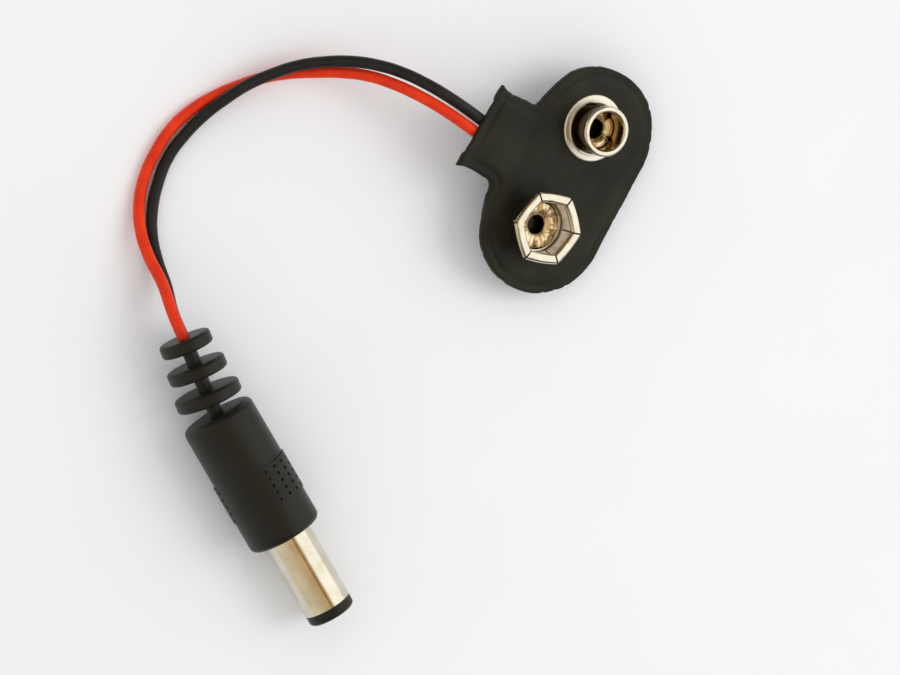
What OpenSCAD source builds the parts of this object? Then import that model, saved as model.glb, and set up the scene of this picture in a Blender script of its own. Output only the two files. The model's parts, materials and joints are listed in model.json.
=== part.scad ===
// Soft-cover 9 V battery snap on a short red and black lead with a moulded barrel plug.
// The snap leans on the edge of its rear pocket and the plug lies beside it. Millimetres, +Z up.

/* [Snap cover] */
// Thickness of each cover sheet
cover_t = 0.5; // [0.35:0.05:0.8]
// Cover radius round the stud
stud_end_r = 7.9; // [7.4:0.05:9.5]
// Cover radius round the socket
socket_end_r = 8.15; // [7.4:0.05:9.8]
// Distance between the centres of the two cover ends
end_pitch = 11; // [9.5:0.1:14]
// Offset of the cover from the line of the contacts, away from the tab
cover_shift = 0.57; // [0:0.01:1]
// Angle by which the punched cover is out of line with the contacts
cover_turn = 2.3; // [0:0.1:4]
// Width of the welded rim
weld_w = 1.2; // [0.8:0.1:1.5]
// Depth by which the rim is pressed below the cover's field
weld_step = 0.12; // [0.05:0.01:0.2]

/* [Wire tab] */
// Distance from the cover's centre line to the end of the tab
tab_end = 12.9; // [12:0.1:16]
// Width of the tab at its waist
tab_w = 9.5; // [8:0.1:11]
// Width of the tab across its end corners
tab_end_w = 10.7; // [8.5:0.1:12]
// Radius of the tab's hollow sides
tab_side_r = 5.5; // [4:0.5:30]
// Offset of the tab's middle from the middle of the cover
tab_shift = -0.2; // [-0.6:0.05:0.6]
// Radius of the notches between tab and cover
notch_r = 0.9; // [0.5:0.05:1.5]

/* [Rear pocket] */
// Pocket radius where it leaves the welded rim
pocket_top_r = 6.6; // [6.2:0.05:6.7]
// Pocket radius at its floor
pocket_floor_r = 5.6; // [5:0.05:6]
// Thickness of the stiffener board
board_t = 0.5; // [0.3:0.05:1]
// Radius of the board's round ends
board_r = 5.4; // [4.8:0.05:5.6]

/* [Contacts] */
// Distance between the stud and the socket
contact_pitch = 12.7; // [12:0.1:13.4]
// Sheet thickness of the contacts
contact_t = 0.3; // [0.2:0.05:0.4]
// Radius of the stud's rim
stud_r = 2.86; // [2.6:0.01:3.1]
// Radius inside the stud's rim
stud_mouth_r = 2.18; // [1.95:0.01:2.3]
// Radius of the stud's neck
stud_neck_r = 2.5; // [2.4:0.01:2.55]
// Radius of the stud's base flange
stud_flange_r = 3.78; // [3.5:0.01:4.2]
// Height of the stud above the cover
stud_h = 3.23; // [2.6:0.01:4]
// Distance across the corners of the socket's six-sided lip
socket_corners = 9.14; // [8.2:0.02:9.4]
// Height of the socket above the cover
socket_h = 3.3; // [2.8:0.05:4]
// Width of the rolled lip
lip_w = 1.15; // [0.8:0.05:1.2]
// Thickness of the rolled lip
lip_t = 0.7; // [0.5:0.05:0.9]
// Radius of the outward bow of each lip
lip_bow_r = 14; // [10:0.5:40]
// Outside radius of the socket's round cup
cup_r = 3.25; // [3.1:0.05:3.4]
// Height of the round cup below the six petals
cup_h = 0.85; // [0.7:0.05:1.2]
// Width of the slots between the petals
petal_slot = 0.2; // [0.1:0.02:0.3]
// Turn of the socket's six sides about its axis
socket_turn = 52; // [0:1:60]

/* [Eyelets] */
// Bore of the hollow rivets
eyelet_bore = 1.7; // [1.2:0.05:1.9]
// Wall of the hollow rivets
eyelet_wall = 0.3; // [0.2:0.02:0.35]
// Radius of the flared star inside the stud
stud_flare_r = 1.95; // [1.6:0.05:2.05]
// Radius of the flared star inside the socket
socket_flare_r = 2.3; // [1.6:0.05:2.6]
// Height of the flared stars
flare_h = 0.34; // [0.2:0.02:0.5]
// Radius of the rivet head behind the board
head_r = 1.8; // [1.5:0.05:1.9]
// Thickness of the rivet head
head_t = 0.25; // [0.15:0.05:0.4]

/* [Lead] */
// Diameter of each wire over its insulation
wire_d = 1.3; // [1.1:0.05:1.35]
// Diameter of the copper conductor
conductor_d = 0.5; // [0.3:0.05:0.6]
// Spacing of the two wires in the tab
wire_pitch = 1.5; // [1.4:0.05:1.8]
// Distance of the wire pair from the contacts' centre line
wire_shift = -0.95; // [-1.2:0.05:-0.5]
// Clearance round the wires inside the snap
wire_clear = 0.05; // [0.02:0.01:0.1]
// Web between the two wires in the strain relief
stack_gap = 0.1; // [0.05:0.01:0.2]

/* [Plug] */
// Length of the moulded body
body_len = 15.6; // [14:0.1:20]
// Body diameter at the strain relief
body_rear_d = 8.35; // [7.5:0.05:9.5]
// Body diameter at the barrel
body_front_d = 8.5; // [7.5:0.05:9.5]
// Rounding of the body's end edges
body_edge_r = 0.7; // [0.3:0.05:1.2]
// Diameter of the strain relief's last ring
ring_rear_d = 5.9; // [5:0.1:6.6]
// Diameter of the ring beside the body
ring_front_d = 7.5; // [6.7:0.1:8.2]
// Thickness of each ring
ring_t = 1.5; // [1.2:0.05:2.2]
// Gap between the rings
ring_gap = 1.6; // [1:0.05:2]
// Gap between the body and the ring beside it
ring_start = 1.45; // [1:0.05:2]
// Number of rings
ring_count = 3; // [2:1:4]
// Width of the stem that carries the rings
stem_w = 1.6; // [1.5:0.05:2.5]
// Depth of the stem that carries the rings
stem_depth = 3.2; // [3:0.05:4]
// Angle by which the strain relief is bent from the body
relief_bend = 7; // [0:1:20]
// Length of the grip pads along the body
pad_len = 4.5; // [3:0.1:6]
// Angle round the body that each grip pad spans
pad_span = 104; // [80:2:120]
// Height of the grip pads above the body
pad_raise = 0.2; // [0.1:0.05:0.4]
// Distance of the pads' middle from the body's rear face
pad_at = 9.4; // [7:0.1:12]
// Turn of the pads about the body
pad_turn = 23; // [0:1:30]
// Diameter of the dimples in the pads
dimple_d = 0.36; // [0.2:0.02:0.5]
// Depth of the dimples
dimple_depth = 0.2; // [0.1:0.05:0.4]
// Spacing of the dimples along the body
dimple_pitch = 0.86; // [0.7:0.01:1]
// Angle between the rows of dimples round the body
dimple_turn = 17; // [12:1:18]

/* [Barrel] */
// Outside diameter of the barrel
barrel_d = 5.5; // [5:0.1:6]
// Wall of the barrel's metal sleeve
sleeve_wall = 0.3; // [0.2:0.05:0.4]
// Length of bare sleeve in front of the body
sleeve_len = 9.15; // [7:0.05:13]
// Length of the insulating tip
tip_len = 1.3; // [0.8:0.05:2]
// Length of the sleeve held in the body
sleeve_seat = 5.9; // [4:0.1:7]
// Thickening of the sleeve held in the body
held_step = 0.2; // [0.1:0.05:0.3]
// Diameter of the collar that anchors the sleeve
collar_d = 6.6; // [6:0.1:7.4]
// Length of the collar
collar_len = 0.8; // [0.5:0.1:1.5]
// Bore of the centre contact
pin_bore = 2.1; // [1.9:0.05:2.5]
// Wall of the centre contact
pin_wall = 0.3; // [0.2:0.05:0.4]
// Clearance between the barrel's nested tubes
tube_clear = 0.02; // [0.01:0.01:0.05]

/* [Resting pose] */
// Lean of the snap onto the edge of its pocket
lean = 16; // [0:1:25]
// Heading of the plug on the floor
plug_heading = -27.5; // [-60:0.5:0]
// Roll of the plug about its own axis
plug_roll = 12; // [0:1:30]

/* [Hidden] */
$fn = 64;

cover_colour = "#2a2927";
moulding_colour = "#262624";
nickel_colour = "#d8d2c2";
eyelet_colour = "#c9a466";
board_colour = "#7a5a3a";
solder_colour = "#b9bcc0";
red_colour = "#e02a14";
black_colour = "#1f1f1f";
copper_colour = "#b87333";

// Heights in the snap, from the front face of the cover
board_back = -cover_t - board_t;
wire_gap = wire_d / 2 + wire_clear;
board_slack = 0.1;
pocket_depth = board_t + 2 * wire_gap + board_slack;
pocket_back = -2 * cover_t - pocket_depth;
tab_wire_z = -cover_t - wire_gap;
board_wire_z = board_back - wire_gap;
stud_y = contact_pitch / 2;

// The cover's straight sides lie this far inside the tangents of its ends
side_sink = 0.03;

// Wire tunnel from the tab's end to the pocket
tunnel_x = cover_shift - tab_end;
tunnel_len = 8;
tunnel_tilt = atan((tab_wire_z - board_wire_z) / tunnel_len);
tunnel_back = tab_wire_z - wire_gap - cover_t;

// Resting place of the snap: its pocket's edge, or its rim, touches the floor
rim_far_x = cover_shift + end_pitch / 2 * sin(cover_turn) + socket_end_r;
pocket_far_x = cover_shift + pocket_floor_r + cover_t;
snap_at = [
    -((rim_far_x + tunnel_x) * cos(lean) + tunnel_back * sin(lean)) / 2,
    (socket_end_r - stud_end_r) / 2,
    max(pocket_far_x * sin(lean) - pocket_back * cos(lean), rim_far_x * sin(lean) + 2 * cover_t * cos(lean))
];

// Resting place of the plug: the middle of its body's rear face
plug_at = [-17.6, -43, body_front_d / 2];
ring_pitch = ring_t + ring_gap;
relief_len = ring_start + ring_count * ring_t + (ring_count - 1) * ring_gap;
ring_step = (ring_front_d - ring_rear_d) / 2 / (ring_count - 1);
ring_edge = 0.35;

// Grip pads: radius of the body under them, then offset and radius of their own round faces
pad_body_r = (body_rear_d + (body_front_d - body_rear_d) * pad_at / body_len) / 2;
pad_off = pad_raise / (1 - cos(pad_span / 2));
pad_r = pad_body_r + pad_raise - pad_off;

// Eyelet sizes
eyelet_r = eyelet_bore / 2 + eyelet_wall;
rivet_clear = 0.03;
eyelet_hole_r = eyelet_r + rivet_clear;
solder_r = 1.3;
solder_h = 1.05;
solder_edge = 0.5;

// Socket sizes
lip_out = socket_corners / 2 * cos(30);
lip_mid_z = socket_h - lip_t / 2;

// Barrel sizes, along the plug from the body's rear face
sleeve_r = barrel_d / 2;
held_r = sleeve_r + held_step;
tip_inset = 0.02;
tip_r = sleeve_r - tip_inset;
sleeve_rear = body_len - sleeve_seat;
sleeve_front = body_len + sleeve_len;
tip_front = sleeve_front + tip_len;
bush_r = sleeve_r - sleeve_wall - tube_clear;
pin_r = pin_bore / 2 + pin_wall;
pin_recess = 0.7;
pin_plug_len = 1;
pin_back = 0.7;
pin_rear = sleeve_rear - pin_back;
pin_tail_r = 0.4;
tail_w = 1.6;
tail_len = 4;
tail_rear = sleeve_rear - tail_len;

// Solder drops in the plug: radius, length, and height from the plug's axis
centre_drop_r = 0.85;
centre_drop_len = 2.4;
centre_drop_z = 0.3;
sleeve_drop_r = 0.6;
sleeve_drop_len = 2.2;
sleeve_drop_lift = 0.45;
sleeve_drop_z = sleeve_wall + sleeve_drop_lift - sleeve_r;
drop_edge = 0.25;

// Route of the wires in the snap, in its own plane: solder joint, end of insulation, pocket, tunnel
black_snap_route = [[-0.3, 6], [-1, 4], [-1.7, 2], [-3.2, 0.5]];
red_snap_route = [[-0.4, -5.8], [-1.5, -4.2], [-2.6, -2.6], [-3.8, -1.9]];
tunnel_route = [-5.1, -7.9, -10.7, -13.7];

// Route of the free wires over the floor
black_free_route = [[-14.5, -0.1, 7.9], [-17.4, -0.2, 7.6], [-20.2, -0.5, 6.8], [-22.9, -1.2, 5.9],
    [-25.4, -2.3, 4.9], [-27.7, -3.8, 3.9], [-29.9, -5.7, 3.1], [-31.8, -8, 2.5], [-33.4, -10.4, 2.2],
    [-34.6, -13, 1.8], [-35.6, -15.8, 1.3], [-36.2, -18.7, 0.9], [-36.4, -21.6, 0.65],
    [-35.9, -24.6, 0.65], [-34.9, -27.4, 0.65], [-33.4, -29.9, 0.7], [-31.5, -32, 1.3],
    [-29.4, -33.9, 2.4]];
red_free_route = [[-14.5, -1.6, 7.8], [-17.4, -1.7, 7.3], [-20.2, -2, 6.3], [-22.9, -2.6, 5],
    [-25.4, -3.7, 3.7], [-27.7, -5.1, 2.5], [-30, -6.7, 1.5], [-32.1, -8.6, 0.9], [-34, -10.9, 0.65],
    [-35.7, -13.4, 0.65], [-37, -16, 0.65], [-37.8, -18.9, 0.65], [-37.9, -21.9, 0.65],
    [-37.5, -24.9, 0.65], [-36.5, -27.7, 0.9], [-34.9, -30.2, 1.6], [-32.8, -32.2, 2.6],
    [-30.2, -34, 3.9]];

// Route of the wires along the strain relief, and their ends in the body: insulation, then solder joint
relief_route = [-12, -9, -6, -3];
stack_z = (wire_d + stack_gap) / 2;
strip_len = 1.5;
strip_x = tail_rear - strip_len;
black_dip = 2.2;
red_lap = 0.9;
black_lap = 1.3;
black_sink = 0.1;
red_plug_ends = [[strip_x, stack_z], [tail_rear + red_lap, stack_z]];
black_plug_ends = [[strip_x, -black_dip * stack_z], [tail_rear + black_lap, sleeve_drop_z - black_sink]];

// Elbow in the body where the wires leave the bent strain relief
elbow_at = 0.7;
elbow_len = 1.2;
elbow_room = 0.4;

// Sides of a wire's tube
tube_sides = 8;

function unit(v) = v / norm(v);
function turn_x(p, a) = [p.x, p.y * cos(a) - p.z * sin(a), p.y * sin(a) + p.z * cos(a)];
function turn_y(p, a) = [p.x * cos(a) + p.z * sin(a), p.y, p.z * cos(a) - p.x * sin(a)];
function turn_z(p, a) = [p.x * cos(a) - p.y * sin(a), p.x * sin(a) + p.y * cos(a), p.z];
function snap_point(p) = snap_at + turn_y(p, lean);
function plug_point(p) = plug_at + turn_z(turn_x(p, plug_roll), plug_heading);
function relief_point(p) = plug_point(turn_z(p, -relief_bend));
function tunnel_z(x) = tab_wire_z - (x - tunnel_x) * tan(tunnel_tilt);

// A whole wire's route, from its solder joint in the snap to its solder joint in the plug
function wire_route(snap_route, tunnel_y, free_route, side, plug_ends) = concat(
    [for (p = snap_route) snap_point([p.x, p.y, board_wire_z])],
    [for (x = tunnel_route) snap_point([x, tunnel_y, tunnel_z(x)])],
    free_route,
    [for (x = relief_route) relief_point([x, 0, side * stack_z])],
    [plug_point([0, 0, side * stack_z])],
    [for (p = plug_ends) plug_point([p.x, 0, p.y])]);

function without_ends(route) = [for (i = [1 : len(route) - 2]) route[i]];
function heading(route, i) = unit(route[min(i + 1, len(route) - 1)] - route[max(i - 1, 0)]);
function ring(route, i, r) = let(along = heading(route, i), side = unit(cross([0, 0, 1], along)),
    top = cross(along, side)) [for (k = [0 : tube_sides - 1]) let(a = 360 * (k + 0.5) / tube_sides)
    route[i] + r * (cos(a) * side + sin(a) * top)];
function rings(route, r) = [for (i = [0 : len(route) - 1]) each ring(route, i, r)];
function skin(count, base) = [for (i = [0 : count - 2], k = [0 : tube_sides - 1])
    let(a = base + i * tube_sides + k, b = base + i * tube_sides + (k + 1) % tube_sides)
    [a, a + tube_sides, b + tube_sides, b]];
function flipped(faces) = [for (f = faces) [for (i = [len(f) - 1 : -1 : 0]) f[i]]];
function end_cap(base) = [for (k = [0 : tube_sides - 1]) base + k];
function end_ring(outer, inner) = [for (k = [0 : tube_sides - 1])
    let(n = (k + 1) % tube_sides) [outer + k, outer + n, inner + n, inner + k]];

red_route = wire_route(red_snap_route, wire_shift - wire_pitch / 2, red_free_route, 1, red_plug_ends);
black_route = wire_route(black_snap_route, wire_shift + wire_pitch / 2, black_free_route, -1, black_plug_ends);

// Solid strand along a route
module strand(route, d) {
    count = len(route);
    last = (count - 1) * tube_sides;
    polyhedron(rings(route, d / 2), concat(skin(count, 0), [end_cap(0)], flipped([end_cap(last)])));
}

// Hollow tube along a route
module sheath(route, d, bore) {
    count = len(route);
    inner = count * tube_sides;
    last = (count - 1) * tube_sides;
    polyhedron(concat(rings(route, d / 2), rings(route, bore / 2)),
        concat(skin(count, 0), flipped(skin(count, inner)), end_ring(0, inner),
            flipped(end_ring(last, inner + last))));
}

// Round rod between two points
module rod(from, to, d) {
    reach = to - from;
    translate(from)
        rotate([0, acos(reach.z / norm(reach)), atan2(reach.y, reach.x)])
            cylinder(d = d, h = norm(reach));
}

module on_snap() {
    translate(snap_at)
        rotate([0, lean, 0])
            children();
}

module on_plug() {
    translate(plug_at)
        rotate([0, 0, plug_heading])
            rotate([plug_roll, 0, 0])
                children();
}

module on_relief() {
    rotate([0, 0, -relief_bend])
        children();
}

// Turns a shape made along +Z so that it runs along the plug
module along_plug() {
    rotate([0, 90, 0])
        children();
}

module at_stud() {
    translate([0, stud_y, 0])
        children();
}

module at_socket() {
    translate([0, -stud_y, 0])
        rotate(socket_turn)
            children();
}

module at_contacts() {
    at_stud() children();
    at_socket() children();
}

// Two round ends and the straight sides between them
module cover_lobes(inset) {
    slope = asin((socket_end_r - stud_end_r) / end_pitch);
    out = [cos(slope), sin(slope)];
    stud_side = (stud_end_r - inset - side_sink) * out + [0, end_pitch / 2];
    socket_side = (socket_end_r - inset - side_sink) * out - [0, end_pitch / 2];
    translate([0, end_pitch / 2])
        circle(stud_end_r - inset);
    translate([0, -end_pitch / 2])
        circle(socket_end_r - inset);
    polygon([stud_side, [-stud_side.x, stud_side.y], [-socket_side.x, socket_side.y], socket_side]);
}

// Tab with straight sides beside the cover and hollow, flared sides at its end
module cover_tab(inset) {
    waist = (tab_end + socket_end_r) / 2;
    half_w = tab_w / 2 + side_sink;
    translate([0, tab_shift]) {
        difference() {
            translate([-tab_end, -tab_end_w / 2 + inset])
                square([tab_end - waist, tab_end_w - 2 * inset]);
            for (side = [-1, 1])
                translate([-waist, side * (half_w + tab_side_r)])
                    circle(tab_side_r + inset, $fn = 128);
        }
        translate([-waist, -half_w + inset])
            square([waist, 2 * (half_w - inset)]);
    }
}

// Rounded notch that blends one side of the tab into the cover
module cover_notch(end_r, half_w, inset) {
    root = half_w + notch_r;
    notch_x = -end_r - notch_r + 2 * side_sink;
    difference() {
        translate([notch_x, 0])
            square([2 * notch_r, root]);
        translate([notch_x, root])
            circle(notch_r + inset);
    }
}

module cover_outline(inset = 0) {
    translate([cover_shift, 0])
        rotate(cover_turn) {
            cover_lobes(inset);
            cover_tab(inset);
            cover_notch(stud_end_r, tab_w / 2 + tab_shift, inset);
            mirror([0, 1])
                cover_notch(socket_end_r, tab_w / 2 - tab_shift, inset);
        }
}

module front_cover() {
    color(cover_colour)
        on_snap()
            difference() {
                translate([0, 0, -cover_t]) {
                    linear_extrude(cover_t - weld_step)
                        cover_outline();
                    linear_extrude(cover_t)
                        cover_outline(weld_w);
                }
                at_contacts()
                    translate([0, 0, -2 * cover_t])
                        cylinder(r = eyelet_hole_r, h = 3 * cover_t);
            }
}

// Drafted pocket behind the front cover, grown by the thickness of the sheet that forms it
module pocket(sheet) {
    floor_z = -cover_t - pocket_depth - sheet;
    depth = pocket_depth + sheet;
    floor_r = pocket_floor_r + sheet;
    top_r = pocket_top_r + sheet;
    translate([cover_shift, 0, floor_z]) {
        for (side = [-1, 1])
            translate([0, side * end_pitch / 2, 0])
                cylinder(r1 = floor_r, r2 = top_r, h = depth);
        rotate([90, 0, 0])
            linear_extrude(end_pitch, center = true)
                polygon([[-floor_r, 0], [floor_r, 0], [top_r, depth], [-top_r, depth]]);
    }
}

// Tunnel for the pair of wires, grown by the thickness of the sheet that forms it
module tunnel(sheet, start) {
    r = wire_gap + sheet;
    length = tunnel_len - start;
    translate([tunnel_x, wire_shift, tab_wire_z])
        rotate([0, tunnel_tilt, 0])
            translate([start, 0, 0]) {
                for (side = [-1, 1])
                    translate([0, side * wire_pitch / 2, 0])
                        rotate([0, 90, 0])
                            cylinder(r = r, h = length);
                translate([0, -wire_pitch / 2, -r])
                    cube([length, wire_pitch, 2 * r]);
                translate([0, -wire_pitch / 2 - r, 0])
                    cube([length, wire_pitch + 2 * r, 2 * r]);
            }
}

module rear_cover() {
    color(cover_colour)
        on_snap()
            difference() {
                union() {
                    translate([0, 0, -2 * cover_t])
                        linear_extrude(cover_t)
                            cover_outline();
                    pocket(cover_t);
                    intersection() {
                        tunnel(cover_t, -1);
                        translate([0, 0, -cover_t - pocket_depth])
                            linear_extrude(pocket_depth)
                                cover_outline();
                    }
                }
                pocket(0);
                tunnel(0, -2);
            }
}

module stiffener_board() {
    color(board_colour)
        on_snap()
            difference() {
                translate([cover_shift, 0, board_back])
                    linear_extrude(board_t) {
                        for (side = [-1, 1])
                            translate([0, side * end_pitch / 2])
                                circle(board_r);
                        square([2 * board_r, end_pitch], center = true);
                    }
                at_contacts()
                    translate([0, 0, board_back - 1])
                        cylinder(r = eyelet_hole_r, h = board_t + 2);
            }
}

// Square bar section with fully rounded ends
module round_bar(from, to, mid_z, thick) {
    for (x = [from + thick / 2, to - thick / 2])
        translate([x, mid_z])
            circle(d = thick);
    translate([from + thick / 2, mid_z - thick / 2])
        square([to - from - thick, thick]);
}

module stud_contact() {
    step_r = (stud_neck_r + stud_flange_r) / 2;
    rim_t = 0.72;
    color(nickel_colour)
        on_snap()
            at_stud()
                rotate_extrude() {
                    translate([eyelet_hole_r, 0])
                        square([stud_neck_r - eyelet_hole_r, contact_t]);
                    round_bar(stud_mouth_r, stud_flange_r, contact_t / 2, contact_t);
                    translate([stud_mouth_r, 0])
                        square([step_r - contact_t / 2 - stud_mouth_r, 1.5 * contact_t]);
                    round_bar(stud_mouth_r, step_r, 1.25 * contact_t, contact_t / 2);
                    translate([stud_mouth_r, 0])
                        square([stud_neck_r - stud_mouth_r, stud_h - rim_t / 2]);
                    rim_section(rim_t);
                }
}

// Rolled rim of the stud with a short straight land
module rim_section(rim_t) {
    edge_r = 0.24;
    for (x = [stud_mouth_r + edge_r, stud_r - edge_r], z = [stud_h - rim_t + edge_r, stud_h - edge_r])
        translate([x, z])
            circle(edge_r);
    translate([stud_mouth_r + edge_r, stud_h - rim_t])
        square([stud_r - stud_mouth_r - 2 * edge_r, rim_t]);
    translate([stud_mouth_r, stud_h - rim_t + edge_r])
        square([stud_r - stud_mouth_r, rim_t - 2 * edge_r]);
}

// Hollow rivet: head behind the board, tube, and a split flare on the contact's floor
module eyelet(petals, flare_r) {
    bore_r = eyelet_bore / 2;
    back = board_back - head_t;
    split_w = 0.16;
    difference() {
        rotate_extrude() {
            translate([bore_r, back])
                square([eyelet_wall, contact_t - back + flare_h / 2]);
            translate([bore_r, back])
                square([head_r - head_t / 2 - bore_r, head_t]);
            round_bar(bore_r, head_r, back + head_t / 2, head_t);
            round_bar(bore_r, flare_r, contact_t + flare_h / 2, flare_h);
        }
        for (k = [1 : petals])
            rotate(k * 360 / petals)
                translate([eyelet_r, -split_w / 2, contact_t])
                    cube([flare_r, split_w, 2 * flare_h]);
    }
}

module stud_eyelet() {
    color(eyelet_colour)
        on_snap()
            at_stud()
                eyelet(5, stud_flare_r);
}

module socket_eyelet() {
    color(eyelet_colour)
        on_snap()
            at_socket()
                eyelet(10, socket_flare_r);
}

// One lip of the socket: a bowed bar that ends on the lines to its two corners
module socket_lip() {
    half_angle = 20;
    intersection() {
        translate([lip_out - lip_bow_r, 0, 0])
            rotate(-half_angle)
                rotate_extrude(angle = 2 * half_angle)
                    translate([lip_bow_r, 0])
                        round_bar(-lip_w, 0, lip_mid_z, lip_t);
        linear_extrude(2 * socket_h)
            polygon([[0, 0], 2 * lip_out * [cos(30), sin(30)], 2 * lip_out * [cos(30), -sin(30)]]);
    }
}

// Round cup whose flared wall carries the six lips
module socket_cup() {
    rim_r = lip_out - contact_t / 2;
    rotate_extrude() {
        translate([eyelet_hole_r, 0])
            square([cup_r - contact_t - eyelet_hole_r, contact_t]);
        translate([cup_r - contact_t, contact_t])
            circle(contact_t);
        translate([cup_r - contact_t, contact_t])
            square([contact_t, cup_h - contact_t]);
        polygon([[cup_r - contact_t, cup_h], [cup_r, cup_h], [rim_r, lip_mid_z],
            [rim_r - contact_t, lip_mid_z]]);
    }
}

module socket_contact() {
    color(nickel_colour)
        on_snap()
            at_socket()
                difference() {
                    union() {
                        socket_cup();
                        for (k = [1 : 6])
                            rotate(60 * k)
                                socket_lip();
                    }
                    for (k = [1 : 6])
                        rotate(60 * k + 30)
                            translate([0, -petal_slot / 2, cup_h])
                                cube([socket_corners, petal_slot, socket_h]);
                }
}

// Domed solder joint on a rivet head, bored for the conductor
module head_solder(at_y, route) {
    on_snap()
        difference() {
            translate([0, at_y, board_back - head_t - solder_h])
                rotate_extrude() {
                    translate([0, solder_edge])
                        square([solder_r, solder_h - solder_edge]);
                    square([solder_r - solder_edge, solder_h]);
                    translate([solder_r - solder_edge, solder_edge])
                        circle(solder_edge);
                }
            rod([route[0].x, route[0].y, board_wire_z], [route[1].x, route[1].y, board_wire_z], conductor_d);
        }
}

module stud_solder() {
    color(solder_colour)
        head_solder(stud_y, black_snap_route);
}

module socket_solder() {
    color(solder_colour)
        head_solder(-stud_y, red_snap_route);
}

module red_wire() {
    color(red_colour)
        sheath(without_ends(red_route), wire_d, conductor_d + 2 * tube_clear);
}

module red_conductor() {
    color(copper_colour)
        strand(red_route, conductor_d);
}

module black_wire() {
    color(black_colour)
        sheath(without_ends(black_route), wire_d, conductor_d + 2 * tube_clear);
}

module black_conductor() {
    color(copper_colour)
        strand(black_route, conductor_d);
}

// Point in the plug's body on the plane of the two wires
function stack_point(p) = [p.x, 0, p.y];

// Plain outer form of the body: slightly tapered, with rounded end edges
module plug_body() {
    rear_r = body_rear_d / 2;
    front_r = body_front_d / 2;
    edge = body_edge_r;
    along_plug()
        rotate_extrude() {
            polygon([[0, 0], [rear_r - edge, 0], [rear_r, edge], [front_r, body_len - edge],
                [front_r - edge, body_len], [0, body_len]]);
            translate([rear_r - edge, edge])
                circle(edge);
            translate([front_r - edge, body_len - edge])
                circle(edge);
        }
}

// Grip pads: round faces set off to each side, which swell out of the body and fade into it
module grip_pads() {
    rotate([pad_turn, 0, 0])
        for (side = [-1, 1])
            translate([pad_at - pad_len / 2, side * pad_off, 0])
                along_plug()
                    cylinder(r = pad_r, h = pad_len);
}

// Distance of a pad's face from the plug's axis, at an angle from the pad's middle
function pad_reach(angle) = pad_off * cos(angle) + sqrt(pad_r * pad_r - pow(pad_off * sin(angle), 2));

// Dimples of both pads, in six rows along the body
module pad_dimples() {
    for (row = [-2.5 : 2.5], step = [-2 : 2], side = [0, 180])
        rotate([pad_turn + side + row * dimple_turn, 0, 0])
            translate([pad_at + step * dimple_pitch, pad_reach(row * dimple_turn) - dimple_depth, 0])
                rotate([-90, 0, 0])
                    cylinder(d = dimple_d, h = 1);
}

// Rings of the strain relief on an oblong stem
module strain_relief() {
    on_relief() {
        for (k = [0 : ring_count - 1])
            translate([-ring_start - ring_t - k * ring_pitch, 0, 0])
                along_plug()
                    bead(ring_front_d / 2 - k * ring_step, ring_t, ring_edge);
        translate([-relief_len + ring_t / 2, 0, 0])
            rotate([90, 0, 90])
                linear_extrude(relief_len)
                    oblong(stem_w, stem_depth);
    }
}

// Round disc with both of its edges rounded
module bead(r, h, edge) {
    rotate_extrude() {
        translate([0, edge])
            square([r, h - 2 * edge]);
        square([r - edge, h]);
        for (z = [edge, h - edge])
            translate([r - edge, z])
                circle(edge);
    }
}

// Bar section with one half round at each end
module oblong(w, depth) {
    square([w, depth - w], center = true);
    for (side = [-1, 1])
        translate([0, side * (depth - w) / 2])
            circle(d = w);
}

// Where a wire's straight seat in the body starts, inside the elbow behind it
function seat_start(end, side) = [elbow_at, side * stack_z + elbow_at / end.x * (end.y - side * stack_z)];

// Room in the moulding for the wires, down to their solder joints
module wire_seats() {
    elbow_w = wire_d + 2 * elbow_room;
    for (side = [-1, 1])
        on_relief()
            translate([-relief_len - 1, 0, side * stack_z])
                along_plug()
                    cylinder(d = wire_d, h = relief_len + 1 + elbow_at);
    translate([elbow_at - elbow_len / 2, 0, 0])
        rotate([90, 0, 90])
            linear_extrude(elbow_len)
                oblong(elbow_w, 2 * stack_z + elbow_w);
    rod(stack_point(seat_start(red_plug_ends[0], 1)), stack_point(red_plug_ends[0]), wire_d);
    rod(stack_point(seat_start(black_plug_ends[0], -1)), stack_point(black_plug_ends[0]), wire_d);
    rod(stack_point(red_plug_ends[0]), stack_point(red_plug_ends[1]), conductor_d);
    rod(stack_point(black_plug_ends[0]), stack_point(black_plug_ends[1]), conductor_d);
}

module centre_drop() {
    translate([tail_rear - centre_drop_len / 4, 0, centre_drop_z])
        along_plug()
            bead(centre_drop_r, centre_drop_len, drop_edge);
}

module sleeve_drop() {
    difference() {
        translate([tail_rear + sleeve_drop_len / 10, 0, sleeve_drop_z])
            along_plug()
                bead(sleeve_drop_r, sleeve_drop_len, drop_edge);
        difference() {
            along_plug()
                cylinder(r = barrel_d, h = body_len);
            along_plug()
                cylinder(r = sleeve_r - sleeve_wall, h = body_len);
        }
    }
}

// Strip of the sleeve's wall that reaches back to its solder joint
module sleeve_tail() {
    intersection() {
        difference() {
            along_plug()
                cylinder(r = held_r, h = body_len);
            translate([-1, 0, 0])
                along_plug()
                    cylinder(r = sleeve_r - sleeve_wall, h = body_len + 2);
        }
        translate([tail_rear, -tail_w / 2, -barrel_d])
            cube([tail_len + 0.1, tail_w, barrel_d]);
    }
}

// Solid tail of the centre contact, behind its tube
module pin_tail() {
    translate([tail_rear, 0, 0])
        along_plug()
            cylinder(r = pin_tail_r, h = pin_rear - tail_rear + 0.1);
    translate([pin_rear, 0, 0])
        along_plug()
            cylinder(r = pin_r, h = pin_plug_len);
}

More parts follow.
